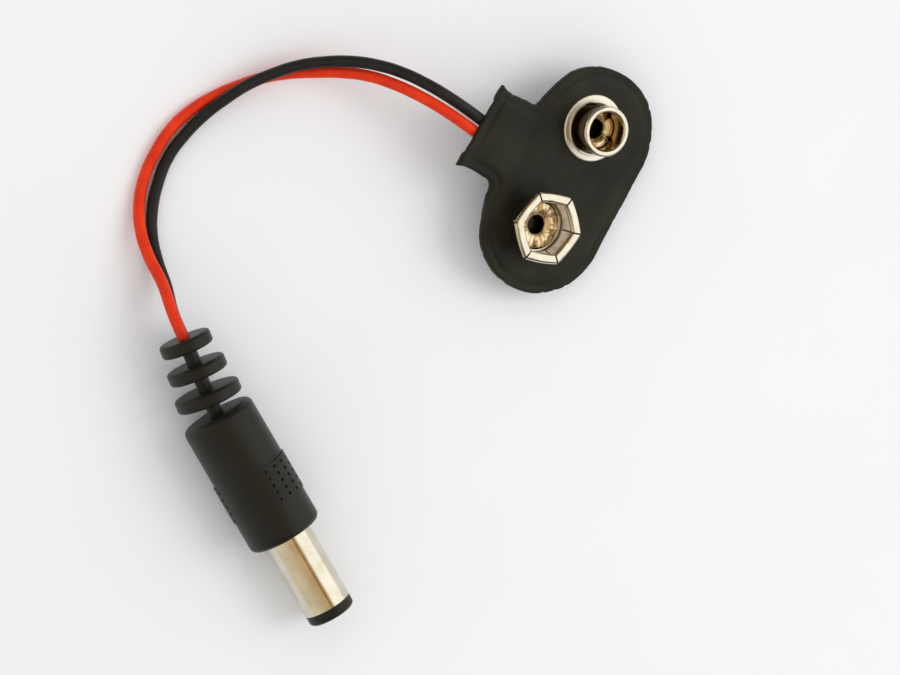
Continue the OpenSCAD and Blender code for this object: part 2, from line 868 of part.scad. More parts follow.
module plug_moulding() {
    color(moulding_colour)
        on_plug()
            difference() {
                union() {
                    plug_body();
                    grip_pads();
                    strain_relief();
                }
                wire_seats();
                translate([sleeve_rear, 0, 0])
                    along_plug() {
                        cylinder(r = held_r, h = body_len);
                        cylinder(d = collar_d, h = collar_len);
                    }
                sleeve_tail();
                pin_tail();
                centre_drop();
                sleeve_drop();
                pad_dimples();
            }
}

module barrel_sleeve() {
    color(nickel_colour)
        on_plug() {
            difference() {
                translate([sleeve_rear, 0, 0])
                    along_plug() {
                        cylinder(r = sleeve_r, h = sleeve_front - sleeve_rear);
                        cylinder(r = held_r, h = sleeve_seat);
                        cylinder(d = collar_d, h = collar_len);
                    }
                translate([sleeve_rear - 1, 0, 0])
                    along_plug()
                        cylinder(r = sleeve_r - sleeve_wall, h = sleeve_front);
            }
            sleeve_tail();
        }
}

module tip_insulator() {
    edge = 0.5;
    mouth_r = pin_bore / 2 + 0.1;
    color(moulding_colour)
        on_plug()
            along_plug()
                rotate_extrude() {
                    translate([pin_r + tube_clear, sleeve_rear])
                        square([bush_r - pin_r - tube_clear, sleeve_front - sleeve_rear]);
                    translate([pin_r + tube_clear, sleeve_front])
                        square([tip_r - pin_r - tube_clear, tip_len - edge]);
                    translate([mouth_r, tip_front - pin_recess])
                        square([tip_r - edge - mouth_r, pin_recess]);
                    translate([tip_r - edge, tip_front - edge])
                        circle(edge);
                }
}

module centre_contact() {
    tube_front = tip_front - pin_recess - tube_clear;
    color(nickel_colour)
        on_plug() {
            translate([pin_rear + pin_plug_len, 0, 0])
                along_plug()
                    difference() {
                        cylinder(r = pin_r, h = tube_front - pin_rear - pin_plug_len);
                        translate([0, 0, -1])
                            cylinder(d = pin_bore, h = tip_front);
                    }
            pin_tail();
        }
}

module sleeve_solder() {
    color(solder_colour)
        on_plug()
            difference() {
                sleeve_drop();
                rod(stack_point(black_plug_ends[0]), stack_point(black_plug_ends[1]), conductor_d);
            }
}

module centre_solder() {
    color(solder_colour)
        on_plug()
            difference() {
                centre_drop();
                pin_tail();
                rod(stack_point(red_plug_ends[0]), stack_point(red_plug_ends[1]), conductor_d);
            }
}

front_cover();
rear_cover();
stiffener_board();
stud_contact();
stud_eyelet();
socket_contact();
socket_eyelet();
stud_solder();
socket_solder();
red_wire();
red_conductor();
black_wire();
black_conductor();
plug_moulding();
barrel_sleeve();
tip_insulator();
centre_contact();
sleeve_solder();
centre_solder();
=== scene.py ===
"""Looks of a 9 V battery snap on a short lead with a barrel plug, built around its CAD frame."""
import json
import math

import bmesh
import bpy
import numpy as np
from mathutils import Matrix, Vector, noise
from mathutils.geometry import delaunay_2d_cdt


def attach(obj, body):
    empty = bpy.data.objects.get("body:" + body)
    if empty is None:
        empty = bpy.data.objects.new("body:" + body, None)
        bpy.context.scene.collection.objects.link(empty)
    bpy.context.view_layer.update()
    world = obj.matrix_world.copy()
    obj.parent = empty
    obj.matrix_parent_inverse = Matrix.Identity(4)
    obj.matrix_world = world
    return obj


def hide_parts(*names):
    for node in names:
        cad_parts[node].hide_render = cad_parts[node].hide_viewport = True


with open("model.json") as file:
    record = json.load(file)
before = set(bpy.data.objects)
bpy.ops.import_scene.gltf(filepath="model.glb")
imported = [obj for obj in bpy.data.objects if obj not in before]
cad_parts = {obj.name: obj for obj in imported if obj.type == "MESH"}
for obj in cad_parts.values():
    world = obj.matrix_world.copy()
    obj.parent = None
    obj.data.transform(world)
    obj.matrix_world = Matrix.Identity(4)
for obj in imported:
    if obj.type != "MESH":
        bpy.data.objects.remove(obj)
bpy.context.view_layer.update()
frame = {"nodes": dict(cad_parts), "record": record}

MM = 0.001
scene = bpy.context.scene
scene.view_settings.view_transform = "Standard"
nodes = frame["nodes"]
mounts = {m["name"]: m for m in frame["record"]["mounts"]}

# Sizes of the object in millimetres, as its CAD has them
COVER_T = 0.5
COVER_SHIFT = 0.57
END_PITCH = 11
WELD_W = 1.2
WELD_STEP = 0.12
TAB_END = 12.9
POCKET_TOP_R = 6.6
POCKET_FLOOR_R = 5.6
POCKET_DEPTH = 2.0
CONTACT_PITCH = 12.7
STUD_LAND_Z = 2.87
LEAN = math.radians(16)
WIRE_D = 1.3
WIRE_GAP = 0.7
WIRE_PITCH = 1.5
WIRE_SHIFT = -0.95
TUNNEL_LEN = 8
TUNNEL_X = COVER_SHIFT - TAB_END
TAB_WIRE_Z = -1.2
BOARD_WIRE_Z = -1.7
STACK_Z = 0.7
BARREL_MOUNT_AT = 20.175
PLUG_ROLL = math.radians(12)
RELIEF_BEND = math.radians(7)

# The snap's own frame: its contacts stand along Y and its normal is the stud's axis
snap_normal = Vector(mounts["stud"]["axis"]).normalized()
snap_at = (Vector(mounts["stud"]["pos_m"]) - STUD_LAND_Z * MM * snap_normal
           - Vector((0, CONTACT_PITCH / 2 * MM, 0)))
SNAP = Matrix.Translation(snap_at) @ Matrix.Rotation(LEAN, 4, "Y") @ Matrix.Scale(MM, 4)
STUD_PLACE = SNAP @ Matrix.Translation((0, CONTACT_PITCH / 2, 0))
SOCKET_PLACE = SNAP @ Matrix.Translation((0, -CONTACT_PITCH / 2, 0))

# The plug's own frame: its axis is the barrel's, and it starts at the rear face of its body
plug_axis = Vector(mounts["barrel"]["axis"]).normalized()
plug_at = Vector(mounts["barrel"]["pos_m"]) - BARREL_MOUNT_AT * MM * plug_axis
plug_heading = math.atan2(plug_axis.y, plug_axis.x)
PLUG = (Matrix.Translation(plug_at) @ Matrix.Rotation(plug_heading, 4, "Z")
        @ Matrix.Rotation(PLUG_ROLL, 4, "X") @ Matrix.Scale(MM, 4))
RELIEF = PLUG @ Matrix.Rotation(-RELIEF_BEND, 4, "Z")


# Camera at the photograph's viewing angle

CAMERA_AT = Vector((-97.34, -61.44, 388.12)) * MM
CAMERA_BACK = Vector((-0.2459, -0.099, 0.9642))
CAMERA_UP = Vector((-0.5232, 0.851, -0.0461))
CAMERA_LENS = 143.04
SENSOR_W = 36
CLIP_START = 0.01


def make_camera():
    back = CAMERA_BACK.normalized()
    right = CAMERA_UP.cross(back).normalized()
    up = back.cross(right)
    turn = Matrix((right, up, back)).transposed().to_4x4()
    data = bpy.data.cameras.new("camera")
    data.lens = CAMERA_LENS
    data.sensor_width = SENSOR_W
    data.clip_start = CLIP_START
    camera = bpy.data.objects.new("camera", data)
    camera.matrix_world = Matrix.Translation(CAMERA_AT) @ turn
    scene.collection.objects.link(camera)
    scene.camera = camera


# Material helpers

def add_node(tree, kind, **inputs):
    """Adds a shader node and sets or links its inputs by name, with _ for a space."""
    made = tree.nodes.new(kind)
    for name, value in inputs.items():
        socket = made.inputs[name.replace("_", " ")]
        if isinstance(value, bpy.types.NodeSocket):
            tree.links.new(value, socket)
        else:
            socket.default_value = value
    return made


def new_material(name, **inputs):
    """A Principled material, its tree, its shader and the object's own coordinates."""
    material = bpy.data.materials.new(name)
    material.use_nodes = True
    tree = material.node_tree
    shader = tree.nodes["Principled BSDF"]
    for key, value in inputs.items():
        shader.inputs[key.replace("_", " ")].default_value = value
    where = tree.nodes.new("ShaderNodeTexCoord").outputs["Object"]
    return material, tree, shader, where


def link(tree, shader, **outputs):
    """Links sockets to a shader's inputs by name, with _ for a space."""
    for name, socket in outputs.items():
        tree.links.new(socket, shader.inputs[name.replace("_", " ")])


def ramp(tree, value, colours, stops=(0.3, 0.7)):
    """A ramp from one colour to another, between two stops of the value."""
    made = add_node(tree, "ShaderNodeValToRGB", Fac=value)
    for element, stop, colour in zip(made.color_ramp.elements, stops, colours):
        element.position = stop
        element.color = (*colour, 1)
    return made.outputs["Color"]


def blend(tree, share, low, high):
    """Mixes two colours, or sockets that carry them."""
    made = tree.nodes.new("ShaderNodeMix")
    made.data_type = "RGBA"
    tree.links.new(share, made.inputs["Factor"])
    for name, value in (("A", low), ("B", high)):
        socket = next(x for x in made.inputs if x.name == name and x.type == "RGBA")
        if isinstance(value, bpy.types.NodeSocket):
            tree.links.new(value, socket)
        else:
            socket.default_value = (*value, 1)
    return next(x for x in made.outputs if x.type == "RGBA")


def span(tree, value, low, high):
    """Maps a 0 to 1 value onto low to high."""
    made = add_node(tree, "ShaderNodeMapRange", Value=value, To_Min=low, To_Max=high)
    return made.outputs["Result"]


def step(tree, value, low, high):
    """Rises smoothly from 0 at low to 1 at high, or falls where low is the greater."""
    made = add_node(tree, "ShaderNodeMapRange", Value=value, From_Min=low, From_Max=high)
    made.interpolation_type = "SMOOTHSTEP"
    return made.outputs["Result"]


def calc(tree, operation, *values):
    """A maths node over numbers or sockets."""
    made = tree.nodes.new("ShaderNodeMath")
    made.operation = operation
    for socket, value in zip(made.inputs, values):
        if isinstance(value, bpy.types.NodeSocket):
            tree.links.new(value, socket)
        else:
            socket.default_value = value
    return made.outputs["Value"]


def vector_calc(tree, operation, first, second=None):
    """A vector maths node over a socket and, for some operations, a fixed vector."""
    made = tree.nodes.new("ShaderNodeVectorMath")
    made.operation = operation
    tree.links.new(first, made.inputs[0])
    if second is not None:
        made.inputs[1].default_value = second
    return made


def zone(tree, *limits):
    """The product of steps, one for each value and the pair of millimetres between which it rises."""
    share = None
    for value, (start, full) in limits:
        rise = step(tree, value, start * MM, full * MM)
        share = rise if share is None else calc(tree, "MULTIPLY", share, rise)
    return share


def about_axis(tree, where, base, way):
    """Radius and height of each point about an axis, in metres."""
    away = vector_calc(tree, "SUBTRACT", where, base).outputs["Vector"]
    height = vector_calc(tree, "DOT_PRODUCT", away, way).outputs["Value"]
    length = vector_calc(tree, "LENGTH", away).outputs["Value"]
    length_squared = calc(tree, "MULTIPLY", length, length)
    height_squared = calc(tree, "MULTIPLY", height, height)
    square = calc(tree, "SUBTRACT", length_squared, height_squared)
    return calc(tree, "SQRT", calc(tree, "MAXIMUM", square, 0.0)), height


def noise_at(tree, where, scale, detail):
    """Noise over a material, its scale being cells to the metre."""
    made = add_node(tree, "ShaderNodeTexNoise", Vector=where, Scale=scale, Detail=detail, Roughness=0.5)
    return made.outputs["Fac"]


def bump(tree, height, distance, strength=1.0, normal=None):
    """A normal bumped by a height, distance being the full height in millimetres."""
    made = add_node(tree, "ShaderNodeBump", Height=height, Distance=distance * MM, Strength=strength)
    if normal is not None:
        tree.links.new(normal, made.inputs["Normal"])
    return made.outputs["Normal"]


# Colours, most of them as a dark and a light one that a material varies between

BLACK_TO_WHITE = ((0, 0, 0), (1, 1, 1))
LEATHER = ((0.0068, 0.0069, 0.0034), (0.0205, 0.0207, 0.0125))
NICKEL = ((0.61, 0.56, 0.46), (0.7, 0.66, 0.56))
BRASS = ((0.66, 0.52, 0.32), (0.94, 0.82, 0.56))
MOULDING = ((0.0085, 0.0084, 0.0055), (0.0125, 0.0124, 0.0085))
FIBRE = ((0.13, 0.07, 0.03), (0.28, 0.16, 0.08))
# Solder is painted near black, painted shade, so that it shows dark through the bores
SOLDER_PAINTED_SHADE = ((0.06, 0.058, 0.055), (0.14, 0.136, 0.13))
COPPER = ((0.6, 0.24, 0.1), (0.8, 0.38, 0.18))
RED_VINYL = ((0.7, 0.026, 0.002), (0.86, 0.042, 0.004))
BLACK_VINYL = ((0.012, 0.012, 0.0115), (0.02, 0.02, 0.019))
FLOOR = ((0.93, 0.93, 0.93), (0.95, 0.95, 0.95))
# Painted light and shade of the contacts: a pale painted reflection on the socket's petals, painted shade at
# their feet and slit ends, a dark painted reflection round the stud's neck and a painted highlight on its
# flange
PETAL_PAINTED_REFLECTION = ((0.8, 0.65, 0.49), (1.0, 0.93, 0.79))
PETAL_PAINTED_SHADE = (0.16, 0.1, 0.05)
PAINTED_NECK_REFLECTION = (0.06, 0.046, 0.028)
PAINTED_FLANGE_HIGHLIGHT = (0.95, 0.92, 0.84)
WORN_BRASS = (0.4, 0.28, 0.13)
# The rivets' bores are painted near black, painted shade of the deep holes
BORE_PAINTED_SHADE = (0.012, 0.01, 0.008)

# Where wear and painted light and shade start and where they are full, in millimetres from a contact's axis
# or above the front cover
STUD_BORE_R = (2.36, 2.2)
STUD_BORE_Z = (3.05, 2.5)
STUD_NECK_R = (3.05, 2.85)
STUD_NECK_FOOT = (0.24, 0.36)
STUD_NECK_TOP = (2.62, 2.5)
STUD_FLANGE_R = (2.75, 2.95)
STUD_FLANGE_Z = (0.42, 0.34)
PETAL_TOP = (2.8, 2.6)
PETAL_BASE = (0.75, 0.85)
PETAL_FOOT_SHADE_HEIGHT = (1.25, 0.95)
SLIT_END_LOW = (0.83, 0.84)
SLIT_END_HIGH = (0.88, 0.86)
RIVET_BORE = (1.14, 1.0)

# The petals' inner wall leans outwards from its foot, and their inner face is told by its distance from it
PETAL_FOOT_R = 2.95
PETAL_FOOT_Z = 0.85
PETAL_SLOPE = 0.267
PETAL_FACE = (0.2, 0.1)

# How much rougher the wear makes a contact, and how metallic the petals' dull faces still are, kept low so
# that their painted reflection shows as a pale, lit colour
FLANGE_DULLNESS = 0.35
PETAL_DULLNESS = 0.36
PETAL_METAL = 0.1


def leatherette():
    """Black embossed vinyl: fine creases round its grains, pores, and slow patches of sheen."""
    material, tree, shader, where = new_material("leatherette", Specular_IOR_Level=0.2)
    grain = add_node(tree, "ShaderNodeTexVoronoi", Vector=where, Scale=3200, Randomness=1.0)
    grain.feature = "DISTANCE_TO_EDGE"
    pores = noise_at(tree, where, scale=9000, detail=3)
    patch = noise_at(tree, where, scale=180, detail=3)
    creases = ramp(tree, grain.outputs["Distance"], BLACK_TO_WHITE, stops=(0.0, 0.16))
    creased = bump(tree, creases, distance=0.018, strength=0.5)
    link(tree, shader, Base_Color=ramp(tree, patch, LEATHER),
         Roughness=span(tree, patch, low=0.36, high=0.5),
         Normal=bump(tree, pores, distance=0.01, strength=0.5, normal=creased))
    return material


def stud_wear_and_painted_light(tree, where, colour, roughness):
    """The stud's neck is painted dark as a painted reflection of the cover, its flange gets a painted
    highlight and a satin finish, and inside its plating is rubbed through to the brass.
    """
    radius, height = about_axis(tree, where, STUD_PLACE.translation, snap_normal)
    bore = zone(tree, (radius, STUD_BORE_R), (height, STUD_BORE_Z))
    neck = zone(tree, (radius, STUD_NECK_R), (height, STUD_NECK_FOOT), (height, STUD_NECK_TOP))
    flange = zone(tree, (height, STUD_FLANGE_Z), (radius, STUD_FLANGE_R))
    # Painted reflection: the neck is painted dark, standing in for the dark cover mirrored in it
    colour = blend(tree, neck, colour, PAINTED_NECK_REFLECTION)
    # Painted highlight: the flange's foot is painted near white
    colour = blend(tree, flange, colour, PAINTED_FLANGE_HIGHLIGHT)
    satin = calc(tree, "MULTIPLY_ADD", flange, FLANGE_DULLNESS, roughness)
    return blend(tree, bore, colour, WORN_BRASS), satin, None


def socket_painted_light_and_shade(tree, where, colour, roughness):
    """Inside, the socket's petals are duller, nearly non-metallic and painted pale pink as a painted
    reflection, with painted shade at their feet and slit ends.
    """
    radius, height = about_axis(tree, where, SOCKET_PLACE.translation, snap_normal)
    wall_start = (PETAL_FOOT_R - PETAL_SLOPE * PETAL_FOOT_Z) * MM
    wall = calc(tree, "MULTIPLY_ADD", height, PETAL_SLOPE, wall_start)
    depth = calc(tree, "SUBTRACT", radius, wall)
    petal = zone(tree, (depth, PETAL_FACE), (height, PETAL_TOP), (height, PETAL_BASE))
    # Painted reflection: the petals' inner faces are painted pale and pink with a mottling, and made nearly
    # non-metallic so that they show lit
    petal_painted_reflection = ramp(tree, noise_at(tree, where, scale=900, detail=4), PETAL_PAINTED_REFLECTION, stops=(0.36, 0.58))
    colour = blend(tree, petal, colour, petal_painted_reflection)
    # Painted shade at the petals' feet and at the slit ends, darkening these crevices
    foot = calc(tree, "MULTIPLY", petal, zone(tree, (height, PETAL_FOOT_SHADE_HEIGHT)))
    slit = zone(tree, (height, SLIT_END_LOW), (height, SLIT_END_HIGH))
    painted_shade = calc(tree, "MAXIMUM", foot, slit)
    dull = calc(tree, "MULTIPLY_ADD", petal, PETAL_DULLNESS, roughness)
    metallic = calc(tree, "MULTIPLY_ADD", petal, PETAL_METAL - 1, 1.0)
    return blend(tree, painted_shade, colour, PETAL_PAINTED_SHADE), dull, metallic


def nickel(name, wear_and_painted_light=None):
    """Bright plating, with the wear of a contact and its painted light and shade."""
    material, tree, shader, where = new_material(name, Metallic=1.0)
    stain = noise_at(tree, where, scale=700, detail=4)
    scratch = noise_at(tree, where, scale=5000, detail=3)
    colour = ramp(tree, stain, NICKEL, stops=(0.3, 0.65))
    roughness = span(tree, stain, low=0.08, high=0.18)
    metallic = None
    if wear_and_painted_light:
        colour, roughness, metallic = wear_and_painted_light(tree, where, colour, roughness)
    if metallic is not None:
        link(tree, shader, Metallic=metallic)
    link(tree, shader, Base_Color=colour, Roughness=roughness,
         Normal=bump(tree, scratch, distance=0.004, strength=0.3))
    return material


def brass(name, place):
    """Worn brass of a rivet, whose bore is painted near black as the shade of the deep hole."""
    material, tree, shader, where = new_material(name, Metallic=1.0)
    stain = noise_at(tree, where, scale=1400, detail=4)
    scratch = noise_at(tree, where, scale=6000, detail=3)
    bright = ramp(tree, stain, BRASS, stops=(0.3, 0.65))
    radius = about_axis(tree, where, place.translation, snap_normal)[0]
    # Painted shade: the bore is painted near black
    link(tree, shader, Base_Color=blend(tree, zone(tree, (radius, RIVET_BORE)), bright, BORE_PAINTED_SHADE),
         Roughness=span(tree, stain, low=0.18, high=0.34),
         Normal=bump(tree, scratch, distance=0.006, strength=0.4))
    return material


def vinyl(name, colours, roughness):
    """Soft wire insulation with a faint mottling and extrusion marks."""
    material, tree, shader, where = new_material(name, Specular_IOR_Level=0.22)
    patch = noise_at(tree, where, scale=500, detail=3)
    marks = noise_at(tree, where, scale=2600, detail=3)
    link(tree, shader, Base_Color=ramp(tree, patch, colours),
         Roughness=span(tree, patch, low=roughness - 0.05, high=roughness + 0.05),
         Normal=bump(tree, marks, distance=0.012, strength=0.4))
    return material


def moulding():
    """Black moulded vinyl with a spark-finished skin."""
    material, tree, shader, where = new_material("black_moulding", Specular_IOR_Level=0.26)
    patch = noise_at(tree, where, scale=220, detail=3)
    spark = noise_at(tree, where, scale=6500, detail=2)
    link(tree, shader, Base_Color=ramp(tree, patch, MOULDING),
         Roughness=span(tree, patch, low=0.36, high=0.46),
         Normal=bump(tree, spark, distance=0.012, strength=0.5))
    return material


def fibre_board():
    """Brown pressed board with a fibrous face."""
    material, tree, shader, where = new_material("fibre_board")
    fibre = noise_at(tree, where, scale=2500, detail=5)
    link(tree, shader, Base_Color=ramp(tree, fibre, FIBRE, stops=(0.35, 0.65)),
         Roughness=span(tree, fibre, low=0.7, high=0.9),
         Normal=bump(tree, fibre, distance=0.03))
    return material


def soft_metal(name, colours, roughness):
    """Solder or bare copper: a metal with a dull, uneven skin, bright for the copper and painted near black
    as shade for the solder.
    """
    material, tree, shader, where = new_material(name, Metallic=1.0)
    skin = noise_at(tree, where, scale=1800, detail=4)
    link(tree, shader, Base_Color=ramp(tree, skin, colours, stops=(0.35, 0.65)),
         Roughness=span(tree, skin, low=roughness - 0.1, high=roughness + 0.1),
         Normal=bump(tree, skin, distance=0.02, strength=0.4))
    return material


MATERIALS = {
    "leatherette": leatherette(),
    "nickel": nickel("nickel"),
    "stud_nickel": nickel("stud_nickel", stud_wear_and_painted_light),
    "socket_nickel": nickel("socket_nickel", socket_painted_light_and_shade),
    "stud_brass": brass("stud_brass", STUD_PLACE),
    "socket_brass": brass("socket_brass", SOCKET_PLACE),
    "fibre_board": fibre_board(),
    # The solder's colours are painted shade
    "solder": soft_metal("solder", SOLDER_PAINTED_SHADE, roughness=0.45),
    "copper": soft_metal("copper", COPPER, roughness=0.3),
    "red_pvc": vinyl("red_pvc", RED_VINYL, roughness=0.4),
    "black_pvc": vinyl("black_pvc", BLACK_VINYL, roughness=0.42),
    "black_moulding": moulding(),
}


def dress(piece, slot, finish=None):
    """Gives a piece of the object its slot's material, or a finish of its own."""
    piece.data.materials.clear()
    piece.data.materials.append(MATERIALS[finish or slot])


def add_piece(name, data, slot, *replaced, finish=None):
    """Puts new mesh or curve data on the object in place of CAD nodes."""
    piece = bpy.data.objects.new(name, data)
    scene.collection.objects.link(piece)
    dress(piece, slot, finish)
    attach(piece, "root")
    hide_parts(*replaced)
    return piece


# Cords: the same route as the CAD wires, in millimetres

SNAP_ROUTES = {
    "red": [(-1.5, -4.2), (-2.6, -2.6), (-3.8, -1.9)],
    "black": [(-1, 4), (-1.7, 2), (-3.2, 0.5)],
}
TUNNEL_ROUTE = [-5.1, -7.9, -10.7, -13.7]
FREE_ROUTES = {
    "red": [(-14.5, -1.6, 7.8), (-17.4, -1.7, 7.3), (-20.2, -2, 6.3), (-22.9, -2.6, 5),
            (-25.4, -3.7, 3.7), (-27.7, -5.1, 2.5), (-30, -6.7, 1.5), (-32.1, -8.6, 0.9),
            (-34, -10.9, 0.65), (-35.7, -13.4, 0.65), (-37, -16, 0.65), (-37.8, -18.9, 0.65),
            (-37.9, -21.9, 0.65), (-37.5, -24.9, 0.65), (-36.5, -27.7, 0.9), (-34.9, -30.2, 1.6),
            (-32.8, -32.2, 2.6), (-30.2, -34, 3.9)],
    "black": [(-14.5, -0.1, 7.9), (-17.4, -0.2, 7.6), (-20.2, -0.5, 6.8), (-22.9, -1.2, 5.9),
              (-25.4, -2.3, 4.9), (-27.7, -3.8, 3.9), (-29.9, -5.7, 3.1), (-31.8, -8, 2.5),
              (-33.4, -10.4, 2.2), (-34.6, -13, 1.8), (-35.6, -15.8, 1.3), (-36.2, -18.7, 0.9),
              (-36.4, -21.6, 0.65), (-35.9, -24.6, 0.65), (-34.9, -27.4, 0.65), (-33.4, -29.9, 0.7),
              (-31.5, -32, 1.3), (-29.4, -33.9, 2.4)],
}
RELIEF_ROUTE = [-12, -9, -6, -3]
PLUG_ENDS = {"red": (4.2, 0.7), "black": (4.2, -1.54)}
SIDES = {"red": 1, "black": -1}
CORD_ROUNDNESS = 6
CORD_STEPS = 8


def tunnel_z(x):
    """Height of the wires' centres in the tunnel, which runs down from the tab's end to the board."""
    return TAB_WIRE_Z - (x - TUNNEL_X) * (TAB_WIRE_Z - BOARD_WIRE_Z) / TUNNEL_LEN


def tunnel_y(colour):
    """Where a wire lies across the tunnel."""
    return WIRE_SHIFT - SIDES[colour] * WIRE_PITCH / 2


def cord_points(colour):
    """A wire's route from its contact through the tunnel and the strain relief into the plug."""
    stack = SIDES[colour] * STACK_Z
    end_x, end_z = PLUG_ENDS[colour]
    points = [SNAP @ Vector((px, py, BOARD_WIRE_Z)) for px, py in SNAP_ROUTES[colour]]
    points += [SNAP @ Vector((x, tunnel_y(colour), tunnel_z(x))) for x in TUNNEL_ROUTE]
    points += [Vector(p) * MM for p in FREE_ROUTES[colour]]
    points += [RELIEF @ Vector((x, 0, stack)) for x in RELIEF_ROUTE]
    points += [PLUG @ Vector((0, 0, stack)), PLUG @ Vector((end_x, 0, end_z))]
    return points


def make_cord(colour):
    points = cord_points(colour)
    data = bpy.data.curves.new(colour + "_lead", "CURVE")
    data.dimensions = "3D"
    data.bevel_depth = WIRE_D / 2 * MM
    data.bevel_resolution = CORD_ROUNDNESS
    data.resolution_u = CORD_STEPS
    data.use_fill_caps = True
    spline = data.splines.new("BEZIER")
    spline.bezier_points.add(len(points) - 1)
    for knot, place in zip(spline.bezier_points, points):
        knot.co = place
        knot.handle_left_type = "AUTO"
        knot.handle_right_type = "AUTO"
    cord = add_piece(colour + "_lead", data, colour + "_pvc", colour + "_wire")


make_camera()
make_cord("red")
make_cord("black")


# Covers: two soft sheets, cut and welded together round their rim

# Rows of points, in millimetres in from the rim, out from the pocket's middle line and beside the wires
OUTLINE_STEP = 0.16
EDGE_ROWS = (0.04, 0.1, 0.18, 0.3, 0.5, 0.7, 0.85, 0.98, 1.08, 1.18, 1.3, 1.45, 1.65)
EDGE_ROW_KEEP = 0.97
POCKET_ROW_START = 5.1
POCKET_ROW_STEP = 0.15
POCKET_ROW_COUNT = 17
POCKET_ROWS = tuple(POCKET_ROW_START + POCKET_ROW_STEP * k for k in range(POCKET_ROW_COUNT))
POCKET_TURN_STEPS = 150
TUNNEL_ROWS = (1.3, 1.5, 1.65, 1.8, 1.95, 2.1, 2.25, 2.4)
ROW_STEP = 0.2
ROW_CLEAR = 0.1

# An even field of points between the rows, and how far it stays clear of each of them
FIELD_STEP = 0.42
FIELD_ROW_SHARE = 0.866
FIELD_RIM_CLEAR = 0.25
FIELD_POCKET_CLEAR = 0.2
FIELD_TUNNEL_CLEAR = 0.15
FIELD_HOLE_CLEAR = 0.2
RIVET_HOLE_R = 1.18
HOLE_STEPS = 48
HOLE_KEEP = 0.98
FILL_OUTLINE = 1
SAME_POINT = 1e-7
SAME_PLANE = 1e-3
KEY_DIGITS = 3

# The cut: the round end's shift and where it sets in, slow and fine wobbles, and nicks
SHEET_SHIFT = 0.25
SHIFT_RANGE = (-9, -6)
CUT_WOBBLE = 0.05
FINE_WOBBLE = 0.6
NICK_DEPTH = 0.1
NICK_LEVEL = 0.3

# Places where the cut strays from the CAD outline: the place, its reach and the move there
TRIMS = (
    ((-7.5, 7.2), 2.4, (0.4, -0.1)),
    ((-7, -8.8), 3, (0.46, 0.2)),
    ((4.4, 12.2), 3, (0.12, 0.22)),
    ((-12.2, 4.8), 1.2, (0.1, -0.35)),
    ((-8.4, 4.2), 1.4, (-0.1, 0.3)),
)

# The rear sheet's mouth, where the wires come out
MOUTH_INSET = 1.0
MOUTH_RANGE = (3.6, 2.4)
MOUTH_DEPTH = 1

# Slow waves of the rim, which fade towards the middle and beside the wires
RIM_WAVE = 0.16
RIM_WAVE_RANGE = (3.4, 0.2)
STILL_RANGE = (1.6, 3.2)
STILL_X = -4
FAR_FROM_WIRES = 9

# The front sheet's weld: a step and a groove, crisp in some stretches and faint in others
CRISP_RANGE = (-0.25, 0.35)
CRISP_SLOPE = 0.25
FAINT_SLOPE = 0.55
GROOVE_DEPTH = 0.09
GROOVE_INSET = 0.25
GROOVE_W = 0.16
FAINT_GROOVE = 0.3
SOFT_WAVE = 0.12
SOFT_RIM_RANGE = (1.4, 3)
SOFT_CONTACT_RANGE = (4.0, 5.4)
EDGE_ROUND = 0.2
JOINT_ROUND = 0.06

# The rear sheet's weld groove, the soft edges of its pocket and the sides of its tunnel
REAR_GROOVE_DEPTH = 0.06
REAR_GROOVE_INSET = 0.1
REAR_GROOVE_W = 0.14
POCKET_SOFT = 0.15
TUNNEL_ROUND = 0.92
TUNNEL_SIDE = 2.3
TUNNEL_BLEND = 0.1


def smooth_step(low, high, value):
    """Rises smoothly from 0 at low to 1 at high, or falls where low is the greater."""
    t = np.clip((value - low) / (high - low), 0, 1)
    return t * t * (3 - 2 * t)


def smooth_min(a, b, blend_w):
    """The lower of two heights, with the crease between them rounded."""
    t = np.clip(0.5 + 0.5 * (b - a) / blend_w, 0, 1)
    return b + (a - b) * t - blend_w * t * (1 - t)


def noise_field(points, scale, seed):
    """Smooth noise from about -1 to 1 at each point of the sheet."""
    return np.array([noise.noise(Vector((x * scale, y * scale, seed))) for x, y in points])


def sheet_outline(node):
    """The outline of a cover's flat joint face, as points in the snap's own plane."""
    to_snap = SNAP.inverted()
    mesh = nodes[node].data
    places = [to_snap @ v.co for v in mesh.vertices]
    keys = [(round(p.x, KEY_DIGITS), round(p.y, KEY_DIGITS)) for p in places]
    edges = set()
    for face in mesh.polygons:
        if all(abs(places[i].z + COVER_T) < SAME_PLANE for i in face.vertices):
            ring = [keys[i] for i in face.vertices]
            edges.update(zip(ring, ring[1:] + ring[:1]))
    following = {a: b for a, b in edges if (b, a) not in edges}
    loops = []
    while following:
        start, here = following.popitem()
        loop = [start]
        while here != start:
            loop.append(here)
            here = following.pop(here)
        loops.append(np.array(loop))
    return max(loops, key=lambda loop: np.ptp(loop[:, 1]))


def outward(loop):
    """Unit normals that point out of an anticlockwise loop."""
    run = np.roll(loop, -1, axis=0) - np.roll(loop, 1, axis=0)
    run /= np.linalg.norm(run, axis=1)[:, None]
    return np.column_stack([run[:, 1], -run[:, 0]])


